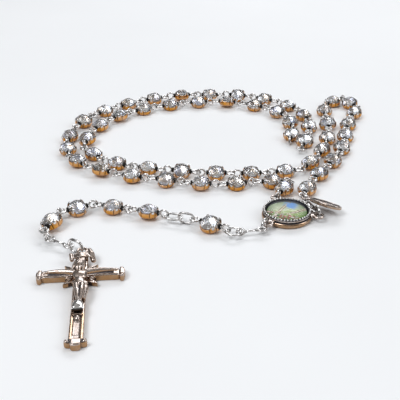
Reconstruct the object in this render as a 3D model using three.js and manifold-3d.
// Rosary lying on a flat surface: centre medal, pendant with crucifix, and a 54-bead loop laid as a
// double coil. Units are millimetres, +Z is up and the parts rest on Z = 0.
import * as THREE from 'three';
import { mergeVertices } from 'three/addons/utils/BufferGeometryUtils.js';
import Module from 'manifold-3d';

const wasm = await Module();
wasm.setup();

// Driving dimensions
const GAP = 0.3; // running clearance between two linked wires
const WIRE = 0.35; // radius of the bead pin wire
const EYE = 1.25; // centreline radius of a bead pin's loop
const REACH = 5.0; // bead centre to loop centre
const FUSED_REACH = 4.7; // the same, towards the joined bead of a pair
const BEAD_R = 3.1; // outer radius of a claw setting
const STONE_TOP = 2.1; // height of a stone's table above the pin wire
const STONE_R = 2.6; // girdle radius of a cut stone
const OUR_FATHER = 1.06; // size of an Our Father bead against a Hail Mary bead
const WIRE_Z = 1.8; // height of the chain's wire above the surface
const MEDAL_R = 7.5;
const MEDAL_H = 3.0;
const MEDAL_Z = 1.8; // middle height of the medal's eyelets
const EYELET = { R: 1.4, r: 0.4 };
const EYELET_REACH = 9.4; // medal centre to eyelet centre
const CROSS_LENGTH = 39.4;
const CROSS_WIDTH = 23.2;
const CROSS_POST = 3.5;
const CROSS_THICK = 2.0;
const BEAM = 2.9; // width of the crucifix's cross beam
const CHARM = { long: 10.6, wide: 7.6, thick: 1.2 };

const SILVER = 0xc9c7c2;
const ANTIQUE = 0x9c9892;
const STONE = 0xe9eef2;

const deg = (a) => (a * Math.PI) / 180;
const vec = (x, y, z = 0) => new THREE.Vector3(x, y, z);

// Solids

function solid(geometry) {
  const bare = new THREE.BufferGeometry();
  bare.setAttribute('position', geometry.getAttribute('position').clone());
  if (geometry.index) bare.setIndex(geometry.index.clone());
  const merged = mergeVertices(bare, 1e-4);
  const p = merged.getAttribute('position');
  const index = Array.from(merged.index.array);
  const tris = [];
  let volume = 0;
  const a = new THREE.Vector3();
  const b = new THREE.Vector3();
  const c = new THREE.Vector3();
  for (let i = 0; i < index.length; i += 3) {
    const [i0, i1, i2] = index.slice(i, i + 3);
    if (i0 === i1 || i1 === i2 || i0 === i2) continue;
    tris.push(i0, i1, i2);
    a.fromBufferAttribute(p, i0);
    b.fromBufferAttribute(p, i1);
    c.fromBufferAttribute(p, i2);
    volume += a.dot(b.cross(c));
  }
  if (volume < 0) tris.reverse();
  return new wasm.Manifold(new wasm.Mesh({
    numProp: 3,
    vertProperties: new Float32Array(p.array),
    triVerts: new Uint32Array(tris),
  }));
}

function join(...parts) {
  return parts.reduce((sum, part) => sum.add(part));
}

function cut(body, ...tools) {
  return tools.reduce((rest, tool) => rest.subtract(tool), body);
}

function moved(part, matrix) {
  return part.transform(matrix.elements);
}

function placed(x, y, z, yaw = 0, pitch = 0, roll = 0) {
  const turn = new THREE.Euler(deg(roll), deg(pitch), deg(yaw), 'ZYX');
  const q = new THREE.Quaternion().setFromEuler(turn);
  return new THREE.Matrix4().compose(vec(x, y, z), q, vec(1, 1, 1));
}

function lathe(profile, sides) {
  const points = profile.map(([r, z]) => new THREE.Vector2(r, z));
  const geometry = new THREE.LatheGeometry(points, sides);
  geometry.rotateX(Math.PI / 2);
  return solid(geometry);
}

function plate(outline, bottom, top, bevel = 0) {
  const shape = new THREE.Shape(outline.map(([x, y]) => new THREE.Vector2(x, y)));
  const geometry = new THREE.ExtrudeGeometry(shape, {
    depth: top - bottom - 2 * bevel,
    bevelEnabled: bevel > 0,
    bevelThickness: bevel,
    bevelSize: bevel,
    bevelOffset: -bevel,
    bevelSegments: 1,
    curveSegments: 8,
  });
  geometry.translate(0, 0, bottom + bevel);
  return solid(geometry);
}

// A wire swept along a path that lies in the XY plane
function wire(points, r, closed, sides) {
  const count = points.length;
  const position = [];
  const index = [];
  points.forEach((p, i) => {
    const back = points[closed ? (i + count - 1) % count : Math.max(i - 1, 0)];
    const on = points[closed ? (i + 1) % count : Math.min(i + 1, count - 1)];
    const along = on.clone().sub(back).normalize();
    const out = vec(along.y, -along.x);
    for (let j = 0; j < sides; j += 1) {
      const a = (2 * Math.PI * j) / sides;
      const q = p.clone().addScaledVector(out, r * Math.cos(a));
      position.push(q.x, q.y, r * Math.sin(a));
    }
  });
  for (let i = 0; i < (closed ? count : count - 1); i += 1) {
    for (let j = 0; j < sides; j += 1) {
      const k = (j + 1) % sides;
      const next = ((i + 1) % count) * sides;
      index.push(i * sides + j, next + j, i * sides + k, i * sides + k, next + j, next + k);
    }
  }
  if (!closed) {
    const last = (count - 1) * sides;
    for (let j = 1; j < sides - 1; j += 1) index.push(0, j, j + 1, last, last + j + 1, last + j);
  }
  const geometry = new THREE.BufferGeometry();
  geometry.setAttribute('position', new THREE.Float32BufferAttribute(position, 3));
  geometry.setIndex(index);
  return geometry;
}

function arc(x, R, from, to, steps) {
  const points = [];
  for (let i = 0; i <= steps; i += 1) {
    const a = deg(from + ((to - from) * i) / steps);
    points.push(vec(x + R * Math.cos(a), R * Math.sin(a)));
  }
  return points;
}

// A wire ring; flat ones lie along the surface, upright ones stand along the chain. With half set
// it is a long ring whose ends are that far from its middle.
function ring(R, r, upright, sides = 8, half = 0) {
  const points = half
    ? [...arc(half, R, -90, 90, sides / 2), ...arc(-half, R, 90, 270, sides / 2)]
    : arc(0, R, 180 / sides, 360 - 180 / sides, sides - 1);
  const geometry = wire(points, r, true, 4);
  if (upright) geometry.rotateX(Math.PI / 2);
  return solid(geometry);
}

// A bead pin's free end, from inside the bead out along X and once round its loop
function pinEnd(eye, inner) {
  const turn = arc(eye.reach, eye.R, 200, 518, 6);
  const geometry = wire([vec(inner, 0), vec(eye.reach - eye.R - 0.25, 0), ...turn], WIRE, false, 3);
  if (eye.upright) geometry.rotateX(Math.PI / 2);
  return solid(geometry);
}

function bar(from, to, r) {
  return solid(wire([vec(from, 0), vec(to, 0)], r, false, 4));
}

// Bead: a round claw setting on a wire pin, stone facing up, wire along X

const SETTING = [
  [0, -1.7], [2.2, -1.7], [3.0, -1.05], [BEAD_R, 0.15], [2.9, 0.15], [2.85, -0.6], [0, -0.6],
];
const CUT_STONE = [
  [0, -0.3], [2.5, -0.3], [STONE_R, 0.1], [2.5, 0.95], [2.0, 1.6], [1.1, STONE_TOP], [0, STONE_TOP],
];
const SET_BEAD = [
  [0, -1.7], [2.2, -1.7], [3.0, -1.05], [BEAD_R, 0.1], [2.65, 1.05], [1.9, 1.7], [1.1, STONE_TOP],
  [0, STONE_TOP],
];

function claws() {
  const prongs = [];
  for (const a of [45, 135, 225, 315]) {
    const prong = plate([[2.88, -0.4], [3.12, -0.4], [3.12, 0.4], [2.88, 0.4]], -0.3, 0.8);
    prongs.push(moved(prong, placed(0, 0, 0, a)));
  }
  return prongs;
}

function pin(side, eye, inner) {
  return moved(pinEnd(eye, inner), placed(0, 0, 0, side > 0 ? 0 : 180));
}

function beadPins(element, inner) {
  return [pin(-1, element.start, inner), pin(1, element.end, inner)];
}

function sized(profile, scale) {
  return profile.map(([r, z]) => [r * scale, z * scale]);
}

function wholeBead(element) {
  const core = moved(lathe(sized(SET_BEAD, element.size), 8), placed(0, 0, 0, 22.5));
  const rolled = moved(core, placed(0, 0, 0, 0, 0, element.roll));
  return join(rolled, ...beadPins(element, 2.2));
}

function settingOnly(element) {
  const cup = join(lathe(sized(SETTING, element.size), 12), ...claws());
  return join(moved(cup, placed(0, 0, 0, 0, 0, element.roll)), ...beadPins(element, 2.92));
}

function stoneOnly(element) {
  const stone = lathe(sized(CUT_STONE, element.size), 12);
  return moved(stone, placed(0, 0, 0, 0, 0, element.roll));
}

// Chain elements. start and end are the loops that link to the neighbours.

function eye(R, r, upright, reach) {
  return { R, r, upright, reach };
}

function bead(name, options = {}) {
  const size = options.ourFather ? OUR_FATHER : 1;
  const first = options.startUpright ?? false;
  const last = options.endUpright ?? true;
  return {
    name,
    kind: 'bead',
    size,
    roll: options.roll ?? 0,
    start: eye(EYE, WIRE, first, options.fusedStart ? FUSED_REACH : REACH * size),
    end: eye(EYE, WIRE, last, options.fusedEnd ? FUSED_REACH : REACH * size),
    fusedEnd: options.fusedEnd ?? false,
  };
}

function link(name, R, r, upright, options = {}) {
  const half = options.half ?? 0;
  return {
    name,
    kind: half ? 'longRing' : 'ring',
    size: 1,
    roll: 0,
    half,
    slack: options.slack ?? 0,
    z: options.z,
    start: eye(R, r, upright, half),
    end: eye(R, r, upright, half),
    fusedEnd: options.fusedEnd ?? false,
  };
}

function eyeLink(name, R, r, half, startUpright, endUpright, flat = false) {
  return {
    name,
    kind: flat ? 'barLink' : 'eyeLink',
    size: 1,
    roll: 0,
    half,
    start: eye(R, r, startUpright, half),
    end: eye(R, r, endUpright, half),
    fusedEnd: false,
  };
}

function elementSolid(element) {
  if (element.kind === 'bead') return wholeBead(element);
  const { R, r, upright } = element.start;
  if (element.kind === 'ring') return ring(R, r, upright, 9);
  if (element.kind === 'longRing') return ring(R, r, upright, 8, element.half);
  const first = moved(ring(R, r, upright), placed(-element.half, 0, 0));
  const last = moved(ring(R, r, element.end.upright), placed(element.half, 0, 0));
  const inner = element.half - R + 0.1;
  const shank = element.kind === 'barLink'
    ? plate([[-inner, -0.7], [inner, -0.7], [inner, 0.7], [-inner, 0.7]], -0.3, 0.3)
    : bar(-inner, inner, r);
  return join(first, shank, last);
}

// How high an element's wire has to be for the element to rest on the surface
function restHeight(element) {
  if (element.z) return element.z;
  if (element.kind !== 'bead') {
    const tall = element.start.upright || element.end.upright;
    return Math.max(WIRE_Z, tall ? element.start.R + element.start.r + 0.05 : 0);
  }
  const a = deg(Math.abs(element.roll));
  return Math.max(WIRE_Z, (1.7 * Math.cos(a) + 2.2 * Math.sin(a)) * element.size + 0.05);
}

// Laying a chain along a hand-drawn route

function smooth(points, steps = 10) {
  const dense = [];
  for (let i = 0; i < points.length - 1; i += 1) {
    const [p0, p1, p2, p3] = [i - 1, i, i + 1, i + 2].map(
      (k) => points[Math.min(Math.max(k, 0), points.length - 1)],
    );
    for (let s = 0; s < steps; s += 1) {
      const t = s / steps;
      dense.push([0, 1].map((k) => 0.5 * (2 * p1[k] + (p2[k] - p0[k]) * t
        + (2 * p0[k] - 5 * p1[k] + 4 * p2[k] - p3[k]) * t * t
        + (3 * p1[k] - p0[k] - 3 * p2[k] + p3[k]) * t * t * t)));
    }
  }
  dense.push(points[points.length - 1]);
  return dense;
}

function walker(route) {
  const dense = smooth(route);
  let at = dense[0];
  let next = 1;
  return (reach) => {
    if (reach <= 0) return at;
    while (next < dense.length - 1 && Math.hypot(dense[next][0] - at[0], dense[next][1] - at[1]) < reach) {
      next += 1;
    }
    const a = dense[next - 1];
    const b = dense[next];
    let low = 0;
    let high = 1;
    for (let i = 0; i < 30; i += 1) {
      const t = (low + high) / 2;
      const x = a[0] + (b[0] - a[0]) * t;
      const y = a[1] + (b[1] - a[1]) * t;
      if (Math.hypot(x - at[0], y - at[1]) < reach) low = t;
      else high = t;
    }
    at = [a[0] + (b[0] - a[0]) * low, a[1] + (b[1] - a[1]) * low];
    return at;
  };
}

// Clear distance between the two crossed wires of a link, centre to centre
function wireStep(a, b) {
  if (a.fusedEnd) return 0.35;
  return a.end.r + b.start.r + GAP + (a.slack ?? 0) + (b.slack ?? 0);
}

// Lays elements from a fixed eyelet along a route. Of two linked loops one is flat and one is
// upright, and the route's stations are the near or far wires of the upright loops, which are the
// real places where the chain bends sideways.
function layChain(eyelet, route, elements) {
  const walk = walker(route);
  const anchor = { end: eyelet, slack: 0 };
  let from = walk(0);
  elements.forEach((element, i) => {
    const before = wireStep(i ? elements[i - 1] : anchor, element);
    const after = i + 1 < elements.length ? wireStep(element, elements[i + 1]) : 2 * WIRE + GAP;
    const lead = element.start.R - (element.start.upright ? 0 : before) + element.start.reach;
    const tail = element.end.R - (element.end.upright ? 0 : after) + element.end.reach;
    const to = walk(lead + tail);
    const length = Math.hypot(to[0] - from[0], to[1] - from[1]);
    const u = [(to[0] - from[0]) / length, (to[1] - from[1]) / length];
    element.from = from;
    element.to = to;
    element.u = u;
    element.before = before;
    element.centre = [from[0] + u[0] * lead, from[1] + u[1] * lead];
    element.height = restHeight(element);
    from = to;
  });
  for (let pass = 0; pass < 4; pass += 1) {
    for (let i = 0; i < elements.length; i += 1) {
      for (const j of [i - 1, i + 1]) {
        if (elements[j] && elements[i].kind === 'bead') {
          elements[i].height = Math.max(elements[i].height, elements[j].height - 0.3);
        }
      }
    }
  }
  return elements;
}

function frameOf(element) {
  const [x, y] = element.centre;
  const yaw = (Math.atan2(element.u[1], element.u[0]) * 180) / Math.PI;
  return placed(x, y, element.height, yaw);
}

// Model

const group = new THREE.Group();
group.name = 'rosary';

function add(name, part, color, roughness, metalness) {
  const mesh = part.getMesh();
  const source = new THREE.BufferGeometry();
  const flat = new Float32Array(mesh.triVerts.length * 3);
  mesh.triVerts.forEach((v, i) => {
    for (let k = 0; k < 3; k += 1) flat[i * 3 + k] = mesh.vertProperties[v * mesh.numProp + k];
  });
  source.setAttribute('position', new THREE.BufferAttribute(flat, 3));
  source.computeVertexNormals();
  const material = new THREE.MeshStandardMaterial({ color, roughness, metalness });
  const node = new THREE.Mesh(source, material);
  node.name = name;
  group.add(node);
  return node;
}

function silver(name, part) {
  return add(name, part, SILVER, 0.28, 1);
}

function antique(name, part) {
  return add(name, part, ANTIQUE, 0.38, 1);
}

// Notes how a moving body turns against its neighbour: the pivot is on the two crossed wires.
// Yaw swings it along the surface, lift raises its far end, roll tips it about the chain's line.
function hinge(node, element, parent, kind, range, side = 1) {
  const flat = element.start.upright ? element.before : -element.before;
  const [x, y] = element.from;
  const [ux, uy] = element.u;
  const shift = kind === 'lift' ? flat : 0;
  const axis = { yaw: [0, 0, 1], lift: [uy, -ux, 0], roll: [side * ux, side * uy, 0] }[kind];
  node.userData.hinge = { parent, kind, range, axis, pivot: [x + ux * shift, y + uy * shift, element.height] };
}

// Centre medal, the root of the assembly

const MEDAL = vec(26, -11.1);
const EYELET_AT = { left: 228, upper: 105, right: -15 };

function medalFrame() {
  const rim = lathe([
    [0, 0], [6.9, 0], [MEDAL_R, 0.5], [MEDAL_R, 1.5], [7.2, 1.9], [7.3, 2.7], [7.0, MEDAL_H],
    [6.2, 2.8], [6.2, 1.0], [0, 1.0],
  ], 24);
  const eyelets = Object.values(EYELET_AT).map((a) => {
    const loop = moved(ring(EYELET.R, EYELET.r, false, 10), placed(EYELET_REACH, 0, MEDAL_Z));
    const neck = plate([[7.0, -0.8], [8.15, -0.6], [8.15, 0.6], [7.0, 0.8]], 1.0, 2.1);
    return moved(join(loop, neck), placed(0, 0, 0, a));
  });
  return moved(join(rim, ...eyelets), placed(MEDAL.x, MEDAL.y, 0));
}

antique('medal_frame', medalFrame());
add('medal_picture', moved(lathe([[0, 1.3], [5.75, 1.3], [5.75, 1.6], [0, 1.6]], 24),
  placed(MEDAL.x, MEDAL.y, 0)), 0xa9b59a, 0.5, 0).userData.rides = 'medal_frame';
add('medal_dome', moved(lathe([[0, 1.9], [5.8, 1.9], [5.6, 2.35], [4.2, 2.95], [2.2, 3.3], [0, 3.4]], 24),
  placed(MEDAL.x, MEDAL.y, 0)), STONE, 0.06, 0).userData.rides = 'medal_frame';

// Routes of the three chains, as places on the surface

const PENDANT_ROUTE = [
  [19.6, -18.2], [17.7, -21.5], [10.4, -23.3], [8.6, -22.1], [-1.8, -15.9], [-6.4, -14.4],
  [-9.4, -13.5], [-20.4, -10.0], [-31.3, -6.5], [-41.6, -11.7], [-44.5, -23.4], [-42.4, -26.8],
  [-36.3, -30.5], [-32.2, -33.1], [-28.8, -35.2],
];
const UPPER_ROUTE = [
  [23.7, -1.8], [26.3, 3.6], [29.0, 9.3], [23.0, 9.9], [16.6, 8.8], [5.9, 7.0], [-5.5, 8.2],
  [-16.5, 11.2], [-27.5, 14.4], [-36.5, 19.0], [-43.5, 26.0], [-47.0, 36.0], [-47.5, 47.0],
  [-45.0, 58.0], [-39.6, 68.0], [-31.6, 76.4], [-21.6, 82.6], [-9.8, 86.8], [3.0, 88.4],
  [15.0, 87.4], [26.0, 83.6], [34.6, 77.0], [40.0, 68.4], [41.4, 58.0], [39.6, 48.0],
  [36.4, 38.0], [33.4, 29.0], [31.0, 21.0],
];
const RIGHT_ROUTE = [
  [35.4, -13.2], [34.6, -9.6], [32.2, -3.0], [32.0, 0], [33.1, 5.5], [38.2, 13.0], [44.8, 24.0],
  [50.0, 34.5], [52.8, 46.0], [55.2, 58.0], [58.8, 66.0], [62.2, 74.0], [60.6, 82.4],
  [53.6, 84.0], [49.2, 77.6], [48.4, 68.0], [48.2, 58.0], [46.8, 47.0], [44.0, 36.6],
  [40.4, 27.8], [36.2, 20.4], [30.6, 16.2], [21.0, 15.8], [9.5, 15.0], [-2.5, 15.4],
  [-14.5, 18.2], [-26.0, 21.6], [-34.6, 26.8], [-40.4, 34.6], [-41.0, 45.0], [-37.8, 55.0],
  [-32.0, 64.0], [-23.8, 71.8], [-13.6, 76.8], [-1.6, 80.0], [10.0, 80.2], [21.0, 77.2],
  [29.6, 70.8], [34.2, 61.4], [34.4, 50.6], [31.6, 40.0], [28.4, 31.0], [26.0, 23.0],
];

// Pendant

const pendant = layChain(eye(EYELET.R, EYELET.r, false, 0), PENDANT_ROUTE, [
  link('pendant_jump_ring', 1.9, 0.4, true, { slack: 0.1, z: 2.32 }),
  eyeLink('pendant_eye_link', 1.1, WIRE, 3.2, false, true),
  link('pendant_ring_a', 2.1, WIRE, false),
  bead('pendant_bead_1', { ourFather: true, startUpright: true, endUpright: false, roll: -6 }),
  link('pendant_ring_b', 1.6, WIRE, true, { half: 0.8 }),
  link('pendant_ring_c', 1.8, WIRE, false, { half: 0.8 }),
  bead('pendant_bead_2', { startUpright: true, endUpright: false, roll: 14 }),
  bead('pendant_bead_3', { startUpright: true, endUpright: false, roll: 4 }),
  bead('pendant_bead_4', { startUpright: true, endUpright: false, roll: -10 }),
  bead('pendant_bead_5', { ourFather: true, startUpright: true, endUpright: false, roll: 20 }),
  link('crucifix_ring', 1.5, WIRE, true, { half: 0.5 }),
  eyeLink('crucifix_eye_link', 1.2, WIRE, 3.4, false, false),
  link('crucifix_oval_ring', 1.9, 0.42, true, { half: 0.5 }),
]);

// Its links swing along the surface and lift off it by turns; towards the loop lying beside them
// they have less room.
const SWING = [-5, 20];
const LIFT = [0, 25];
const CROSS_LIFT = [0, 45];

let carrier = 'medal_frame';
pendant.forEach((element, i) => {
  const at = frameOf(element);
  const swings = i % 2 === 0;
  let node;
  if (element.kind === 'bead') {
    node = silver(`${element.name}_setting`, moved(settingOnly(element), at));
    const stone = add(`${element.name}_stone`, moved(stoneOnly(element), at), STONE, 0.05, 0);
    stone.userData.rides = node.name;
  } else {
    node = silver(element.name, moved(elementSolid(element), at));
  }
  hinge(node, element, carrier, swings ? 'yaw' : 'lift', swings ? SWING : LIFT);
  carrier = node.name;
});

// Crucifix. Its own frame has X down the post from the bail's centre and Z up from its flat back.

const BAIL = { R: 1.3, r: 0.42 };
const CROSS_HEADING = -84.9;
const CROSS_TOP = 1.6;
const CROSSING = 11.0;

const bailPivot = pendant[pendant.length - 1].to;
const heading = [Math.cos(deg(CROSS_HEADING)), Math.sin(deg(CROSS_HEADING))];
const crossStart = {
  from: bailPivot,
  u: heading,
  height: WIRE_Z,
  start: { upright: false },
  before: BAIL.r + 0.42 + GAP,
};
const crossAt = placed(
  bailPivot[0] + (BAIL.R - crossStart.before) * heading[0],
  bailPivot[1] + (BAIL.R - crossStart.before) * heading[1],
  0,
  CROSS_HEADING,
);

// An arm end or foot: a raised middle block with an ear at each side, pointing along X
function flaredEnd(start, end, width, earsBack, middle) {
  const half = BEAM / 2 - 0.1;
  const ears = end - earsBack;
  const neck = plate([[start, -half], [ears, -half], [ears, half], [start, half]], 0, CROSS_THICK, 0.2);
  const bar = plate([
    [ears - 0.65, 0.4 - width / 2], [ears - 0.25, -width / 2], [ears + 0.25, -width / 2],
    [ears + 0.65, 0.4 - width / 2], [ears + 0.65, width / 2 - 0.4], [ears + 0.25, width / 2],
    [ears - 0.25, width / 2], [ears - 0.65, width / 2 - 0.4],
  ], 0, 1.8, 0.2);
  const block = plate([
    [ears - 0.9, -middle], [end - 0.4, -middle], [end, 0.4 - middle], [end, middle - 0.4],
    [end - 0.4, middle], [ears - 0.9, middle],
  ], 0, CROSS_THICK + 0.15, 0.2);
  return join(neck, bar, block);
}

// Three rays of light in each corner where post and beam cross
function rays() {
  const star = [];
  for (const corner of [45, 135, 225, 315]) {
    for (const [turn, length] of [[-24, 2.6], [-19, 4.4], [-12, 4.0], [0, 6.3], [12, 4.0], [19, 4.4], [24, 2.6]]) {
      const a = deg(corner + turn);
      star.push([CROSSING + length * Math.cos(a), length * Math.sin(a)]);
    }
  }
  return plate(star, 0.3, 1.5);
}

function crossBody() {
  const foot = CROSS_TOP + CROSS_LENGTH;
  const half = CROSS_POST / 2;
  const post = plate([
    [CROSS_TOP, -half + 0.3], [foot - 3, -half], [foot - 3, half], [CROSS_TOP, half - 0.3],
  ], 0, CROSS_THICK, 0.25);
  const reach = CROSS_WIDTH / 2;
  const beam = plate([
    [CROSSING - BEAM / 2, -reach + 2], [CROSSING + BEAM / 2, -reach + 2],
    [CROSSING + BEAM / 2, reach - 2], [CROSSING - BEAM / 2, reach - 2],
  ], 0, CROSS_THICK, 0.25);
  const groove = plate([
    [29.0, -0.95], [foot - 2.6, -0.8], [foot - 2.6, 0.8], [29.0, 0.95],
  ], 1.5, 3);
  const bump = lathe([[0, 1.4], [0.9, 1.4], [0.85, 2.0], [0.45, 2.4], [0, 2.45]], 10);
  const boss = moved(bump, placed(30.2, 0, 0));
  const ends = [
    flaredEnd(foot - 4, foot, 5.4, 1.75, 1.25),
    moved(flaredEnd(reach - 3.4, reach, 4.5, 0.9, 1.3), placed(CROSSING, 0, 0, 90)),
    moved(flaredEnd(reach - 3.4, reach, 4.5, 0.9, 1.3), placed(CROSSING, 0, 0, -90)),
  ];
  const bail = moved(ring(BAIL.R, BAIL.r, false, 10), placed(0, 0, WIRE_Z));
  const neck = plate([[1.2, -0.9], [2.4, -1.2], [2.4, 1.2], [1.2, 0.9]], 0.6, 1.9);
  return join(cut(join(post, beam, ...ends, rays()), groove), boss, bail, neck);
}

function corpusBody() {
  const low = CROSS_THICK + 0.3;
  const head = new THREE.IcosahedronGeometry(1.3, 1);
  head.scale(1.45, 1.1, 0.95);
  const skull = moved(solid(head), placed(10.4, -0.4, low + 1.35));
  const torso = plate([
    [11.3, -1.9], [12.8, -2.1], [15.8, -1.4], [18.0, -1.6], [18.0, 1.6], [15.8, 1.4],
    [12.8, 2.1], [11.3, 1.9],
  ], low, low + 1.5, 0.35);
  const cloth = plate([
    [16.6, -1.8], [20.0, -1.75], [20.6, 0.2], [20.0, 1.75], [16.6, 1.8],
  ], low, low + 1.7, 0.3);
  const legs = plate([[19.4, -1.55], [23.4, -1.1], [23.4, 1.0], [19.4, 1.55]], low, low + 1.35, 0.35);
  const feet = plate([[23.0, -1.0], [24.6, -0.7], [24.6, 0.6], [23.0, 0.9]], low, low + 1.0, 0.25);
  const arms = [-1, 1].map((side) => plate([
    [11.6, side * 1.5], [10.7, side * 5.2], [10.6, side * 8.4], [11.5, side * 8.5],
    [11.9, side * 5.2], [13.0, side * 1.7],
  ], low, low + 0.95, 0.2));
  const hands = [-1, 1].map((side) => plate([
    [10.5, side * 8.1], [10.3, side * 9.5], [11.7, side * 9.6], [11.6, side * 8.1],
  ], low, low + 0.7));
  return join(torso, skull, cloth, legs, feet, ...arms, ...hands);
}

hinge(antique('cross', moved(crossBody(), crossAt)), crossStart, carrier, 'lift', CROSS_LIFT);
antique('corpus', moved(corpusBody(), crossAt)).userData.rides = 'cross';
antique('title_scroll', moved(
  plate([[-0.85, -2.8], [-0.6, 0], [-0.85, 2.8], [0.85, 2.8], [0.6, 0], [0.85, -2.8]], 0, 0.8, 0.15),
  crossAt.clone().multiply(placed(3.5, 0, CROSS_THICK + 0.3, 12)),
)).userData.rides = 'cross';
antique('foot_block', moved(
  plate([[25.2, -1.4], [28.6, -1.5], [28.6, 1.5], [25.2, 1.4]], CROSS_THICK + 0.3, CROSS_THICK + 1.3, 0.3),
  crossAt,
)).userData.rides = 'cross';

// Loop: the branch from the medal's right eyelet carries three decades, the one from its upper
// eyelet carries two. Beads are joined in pairs; each Our Father bead has a ring at either side.

const ROLLS = [0, -9, 12, -4, 16, 6, -14, 3, -7, 10, -17, 5, 0, 13, -5, 8];

function decade(name, upright, shift) {
  const beads = [];
  for (let i = 0; i < 10; i += 1) {
    const second = i % 2 === 1;
    beads.push(bead(`${name}_pair_${Math.floor(i / 2) + 1}`, {
      startUpright: upright,
      endUpright: !upright,
      fusedStart: second,
      fusedEnd: !second,
      roll: ROLLS[(i * 5 + shift) % ROLLS.length],
    }));
  }
  return beads;
}

function ourFather(name, upright, roll) {
  const before = link(name, EYE, WIRE, upright, { fusedEnd: true });
  const middle = bead(name, { ourFather: true, startUpright: !upright, endUpright: upright, roll, fusedEnd: true });
  const after = link(name, EYE, WIRE, !upright);
  return [before, middle, after];
}

const rightChain = layChain(eye(EYELET.R, EYELET.r, false, 0), RIGHT_ROUTE, [
  link('right_jump_ring', 1.7, 0.38, true, { slack: 0.05, z: 2.12 }),
  eyeLink('right_bar_link', 1.1, 0.33, 3.2, false, false, true),
  link('right_small_ring', 1.6, WIRE, true, { z: 2.0 }),
  ...decade('decade_1', false, 3),
  ...ourFather('our_father_1', false, 8),
  ...decade('decade_2', false, 8),
  ...ourFather('our_father_2', false, -12),
  ...decade('decade_3', false, 1),
]);

const upperChain = layChain(eye(EYELET.R, EYELET.r, false, 0), UPPER_ROUTE, [
  ...decade('decade_5', true, 6),
  ...ourFather('our_father_4', true, 10),
  ...decade('decade_4', true, 11),
  ...ourFather('our_father_3', true, -6),
]);

function segments(chain) {
  const named = new Map();
  for (const element of chain) {
    if (!named.has(element.name)) named.set(element.name, []);
    named.get(element.name).push(element);
  }
  return [...named.values()];
}

// Every turn of the coil can be tipped up off the surface about the chain's own line, one link
// after another. The rest of the chain lies wholly to one side of that line.
const TIP = [0, 8];

for (const chain of [rightChain, upperChain]) {
  const groups = segments(chain);
  let bearer = 'medal_frame';
  groups.forEach((members, i) => {
    const solids = members.map((element) => moved(elementSolid(element), frameOf(element)));
    const node = silver(members[0].name, join(...solids));
    const [x, y] = members[0].from;
    const [ux, uy] = members[0].u;
    const rest = groups.slice(i).flat();
    const left = rest.reduce((sum, e) => sum + ux * (e.centre[1] - y) - uy * (e.centre[0] - x), 0);
    hinge(node, members[0], bearer, 'roll', TIP, left > 0 ? 1 : -1);
    bearer = node.name;
  });
}

// Charm: an oval medal on the small ring at the right of the centre medal, tipped on its side

const smallRing = rightChain[2];
const CHARM_HEADING = -38;
const CHARM_TIP = -24;
const CHARM_Z = 2.8;
const CHARM_RING = 0.95;

function charmBody() {
  const start = CHARM_RING + 0.65;
  const oval = [];
  const dish = [];
  for (let i = 0; i < 20; i += 1) {
    const a = (2 * Math.PI * i) / 20;
    oval.push([(CHARM.long / 2) * Math.cos(a), (CHARM.wide / 2) * Math.sin(a)]);
    dish.push([(CHARM.long / 2 - 1) * Math.cos(a), (CHARM.wide / 2 - 1) * Math.sin(a)]);
  }
  const half = CHARM.thick / 2;
  const disc = cut(plate(oval, -half, half, 0.25), plate(dish, half - 0.35, 3));
  const leaned = moved(disc, placed(start + CHARM.long / 2, 0, 0, 0, 0, CHARM_TIP));
  const stem = plate([
    [CHARM_RING - 0.1, -0.35], [start + 0.8, -0.35], [start + 0.8, 0.35], [CHARM_RING - 0.1, 0.35],
  ], -0.3, 0.3);
  return join(ring(CHARM_RING, 0.28, false, 10), stem, leaned);
}

const charmHead = [Math.cos(deg(CHARM_HEADING)), Math.sin(deg(CHARM_HEADING))];
const charmPivot = smallRing.from;
const charmStart = { from: charmPivot, u: charmHead, height: CHARM_Z, start: { upright: false }, before: 0.98 };
const charm = antique('charm', moved(charmBody(), placed(
  charmPivot[0] + charmHead[0] * (CHARM_RING - charmStart.before),
  charmPivot[1] + charmHead[1] * (CHARM_RING - charmStart.before),
  CHARM_Z,
  CHARM_HEADING,
)));
hinge(charm, charmStart, smallRing.name, 'yaw', [-3, 40]);

// Origin at the middle of the underside
const box = new THREE.Box3().setFromObject(group);
const origin = vec((box.min.x + box.max.x) / 2, (box.min.y + box.max.y) / 2, box.min.z);
for (const node of group.children) {
  node.geometry.translate(-origin.x, -origin.y, -origin.z);
  if (node.userData.hinge) {
    node.userData.hinge.pivot = node.userData.hinge.pivot.map((p, k) => p - origin.getComponent(k));
  }
}

export default group;
